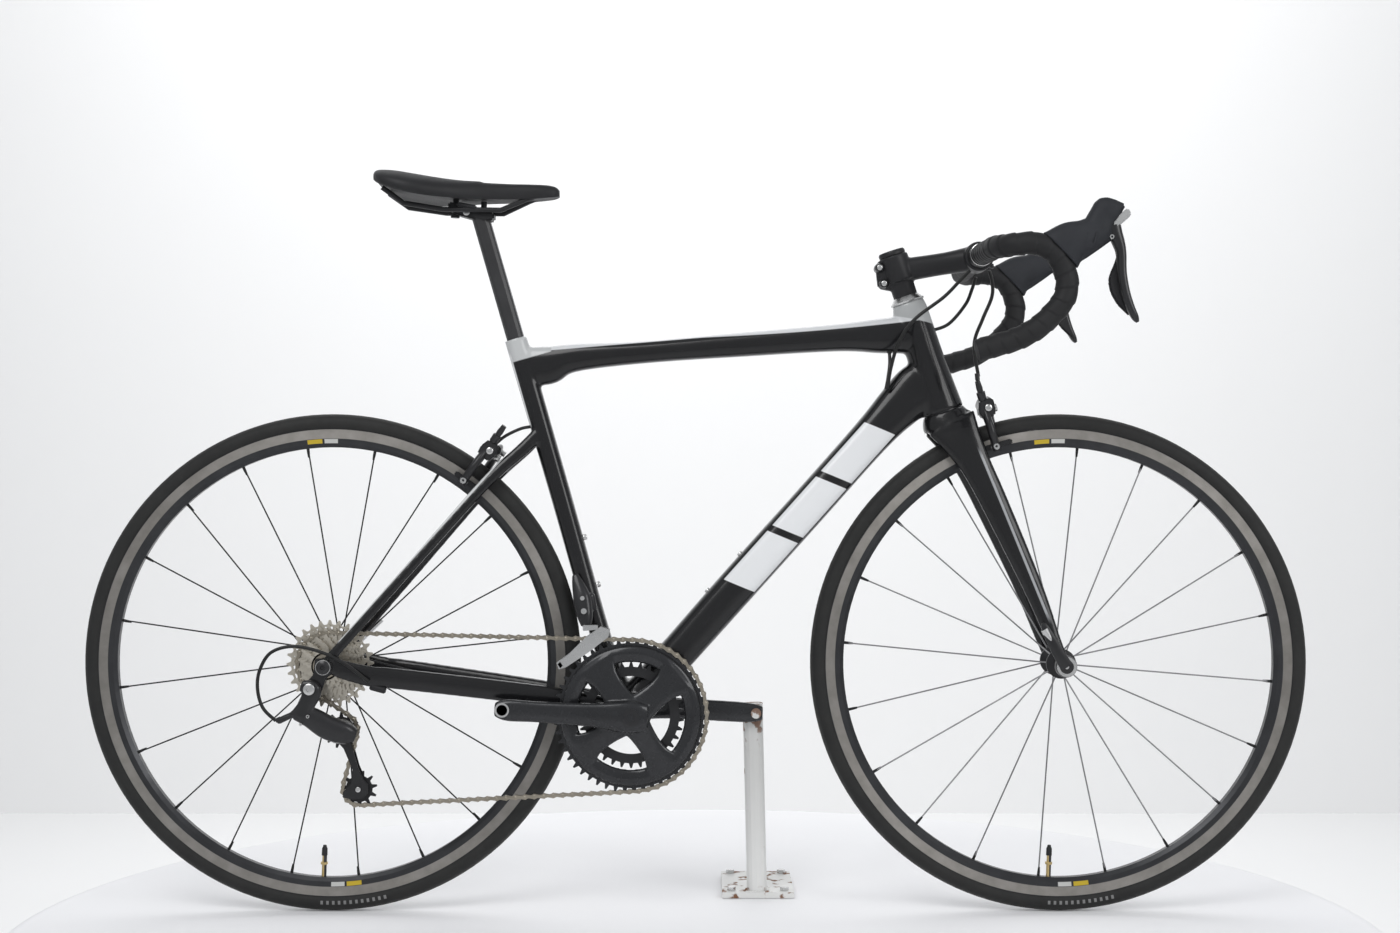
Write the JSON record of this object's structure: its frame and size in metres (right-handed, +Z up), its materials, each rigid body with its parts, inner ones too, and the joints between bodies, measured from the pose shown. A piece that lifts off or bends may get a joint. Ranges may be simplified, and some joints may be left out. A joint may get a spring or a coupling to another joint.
{
  "type": "bicycle on stand",
  "caption": "Road bicycle with drop handlebar and rim brakes, held upright by a post stand under the left crank arm.",
  "frame": {"origin": "on the ground under the middle of the wheelbase", "axes": "+X forward, +Y to the rider's left, away from the drivetrain, +Z up"},
  "size_m": [1.6539, 0.453, 0.9936],
  "materials": {
    "carbon": "gloss",
    "silver_paint": "satin",
    "black_alloy": "satin",
    "alloy": "satin",
    "steel": "satin",
    "nickel": "satin",
    "grey_alloy": "gloss",
    "tyre": "matte",
    "tape": "matte",
    "hood": "matte",
    "saddle": "satin",
    "housing": "satin",
    "plastic": "satin",
    "white_steel": "worn gloss"
  },
  "bodies": {
    "frame": {"down_tube": "carbon", "top_tube": "carbon", "seat_tube": "carbon", "head_tube": "silver_paint", "bottom_bracket_shell": "carbon", "chainstays": "carbon", "seatstays": "carbon", "chain": "nickel", "front_derailleur": "steel", "rear_housing": "housing", "rear_axle": "steel", "derailleur_body": "black_alloy"},
    "saddle": {"seatpost": "carbon", "saddle_clamp": "black_alloy", "saddle_rails": "black_alloy", "saddle_shell": "saddle"},
    "fork_and_bar": {"fork": "carbon", "stem": "black_alloy", "stem_cap": "black_alloy", "handlebar": "alloy", "bar_tape": "tape", "brake_hoods": "hood", "front_housings": "housing", "front_axle": "steel"},
    "front_wheel": {"front_tyre": "tyre", "front_rim": "alloy", "front_spokes": "steel", "front_hub": "black_alloy"},
    "rear_wheel": {"rear_tyre": "tyre", "rear_rim": "alloy", "rear_spokes": "steel", "rear_hub": "black_alloy"},
    "crankset": {"crank_right": "grey_alloy", "crank_spindle": "steel", "crank_left": "grey_alloy", "chainring_outer": "grey_alloy", "chainring_inner": "alloy"},
    "cassette": {"cassette": "nickel"},
    "cage": {"derailleur_cage": "black_alloy"},
    "guide_pulley": {"guide_pulley": "plastic"},
    "tension_pulley": {"tension_pulley": "plastic"},
    "stand": {"stand_post": "white_steel", "stand_base": "white_steel", "stand_bolts": "steel"},
    "front_caliper_right": {"front_caliper_right": "black_alloy"},
    "front_caliper_left": {"front_caliper_left": "black_alloy"},
    "rear_caliper_right": {"rear_caliper_right": "black_alloy"},
    "rear_caliper_left": {"rear_caliper_left": "black_alloy"},
    "brake_lever_right": {"brake_lever_right": "black_alloy"},
    "brake_lever_left": {"brake_lever_left": "black_alloy"}
  },
  "joints": [
    {"name": "crank_spin", "type": "hinge", "parent": "frame", "child": "crankset", "pos_m": [-0.086, 0, 0.269], "axis": [0, 1, 0], "continuous": true, "deforming": ["chain"]},
    {"name": "cassette_spin", "type": "hinge", "parent": "frame", "child": "cassette", "pos_m": [-0.491, 0, 0.336], "axis": [0, 1, 0], "continuous": true},
    {"name": "rear_wheel_spin", "type": "hinge", "parent": "frame", "child": "rear_wheel", "pos_m": [-0.491, 0, 0.336], "axis": [0, 1, 0], "continuous": true},
    {"name": "front_wheel_spin", "type": "hinge", "parent": "fork_and_bar", "child": "front_wheel", "pos_m": [0.491, 0, 0.336], "axis": [0, 1, 0], "continuous": true},
    {"name": "steering", "type": "hinge", "parent": "frame", "child": "fork_and_bar", "pos_m": [0.4501, 0, 0.3227], "axis": [-0.309, 0, 0.9511], "range_deg": [-45, 45], "deforming": ["front_housings"]},
    {"name": "seatpost_slide", "type": "slide", "parent": "frame", "child": "saddle", "axis": [-0.277, 0, 0.9609], "range_m": [-0.03, 0.04]},
    {"name": "cage_pivot", "type": "hinge", "parent": "frame", "child": "cage", "pos_m": [-0.474, 0, 0.248], "axis": [0, 1, 0], "range_deg": [0, 12]},
    {"name": "guide_pulley_spin", "type": "hinge", "parent": "cage", "child": "guide_pulley", "pos_m": [-0.474, 0, 0.248], "axis": [0, 1, 0], "continuous": true},
    {"name": "tension_pulley_spin", "type": "hinge", "parent": "cage", "child": "tension_pulley", "pos_m": [-0.4504, 0, 0.1696], "axis": [0, 1, 0], "continuous": true},
    {"name": "stand_swing", "type": "hinge", "parent": "crankset", "child": "stand", "pos_m": [0.0837, 0, 0.25892], "axis": [0, 1, 0], "range_deg": [-35, 60]},
    {"name": "brake_lever_right_pull", "type": "hinge", "parent": "fork_and_bar", "child": "brake_lever_right", "pos_m": [0.5205, -0.21, 0.888], "axis": [0, 1, 0], "range_deg": [0, 20], "stiffness_Nm_per_rad": 0.5, "springref_deg": -17.19},
    {"name": "brake_lever_left_pull", "type": "hinge", "parent": "fork_and_bar", "child": "brake_lever_left", "pos_m": [0.5205, 0.21, 0.888], "axis": [0, 1, 0], "range_deg": [0, 20], "stiffness_Nm_per_rad": 0.5, "springref_deg": -17.19},
    {"name": "front_caliper_right_pivot", "type": "hinge", "parent": "fork_and_bar", "child": "front_caliper_right", "pos_m": [0.39, 0, 0.676], "axis": [0.9583, 0, 0.2857], "range_deg": [0, 1.4]},
    {"name": "front_caliper_left_pivot", "type": "hinge", "parent": "fork_and_bar", "child": "front_caliper_left", "pos_m": [0.39, 0, 0.676], "axis": [-0.9583, 0, -0.2857], "range_deg": [0, 1.4]},
    {"name": "rear_caliper_right_pivot", "type": "hinge", "parent": "frame", "child": "rear_caliper_right", "pos_m": [-0.281, 0, 0.622], "axis": [0.807, 0, -0.5906], "range_deg": [0, 1.4]},
    {"name": "rear_caliper_left_pivot", "type": "hinge", "parent": "frame", "child": "rear_caliper_left", "pos_m": [-0.281, 0, 0.622], "axis": [-0.807, 0, 0.5906], "range_deg": [0, 1.4]}
  ],
  "couplings": [
    {"joint": "cassette_spin", "follows": "crank_spin", "ratio": 2.381},
    {"joint": "guide_pulley_spin", "follows": "crank_spin", "ratio": -4.5455},
    {"joint": "tension_pulley_spin", "follows": "crank_spin", "ratio": 4.5455},
    {"joint": "front_caliper_right_pivot", "follows": "brake_lever_left_pull", "ratio": 0.07},
    {"joint": "front_caliper_left_pivot", "follows": "brake_lever_left_pull", "ratio": 0.07},
    {"joint": "rear_caliper_right_pivot", "follows": "brake_lever_right_pull", "ratio": 0.07},
    {"joint": "rear_caliper_left_pivot", "follows": "brake_lever_right_pull", "ratio": 0.07}
  ]
}
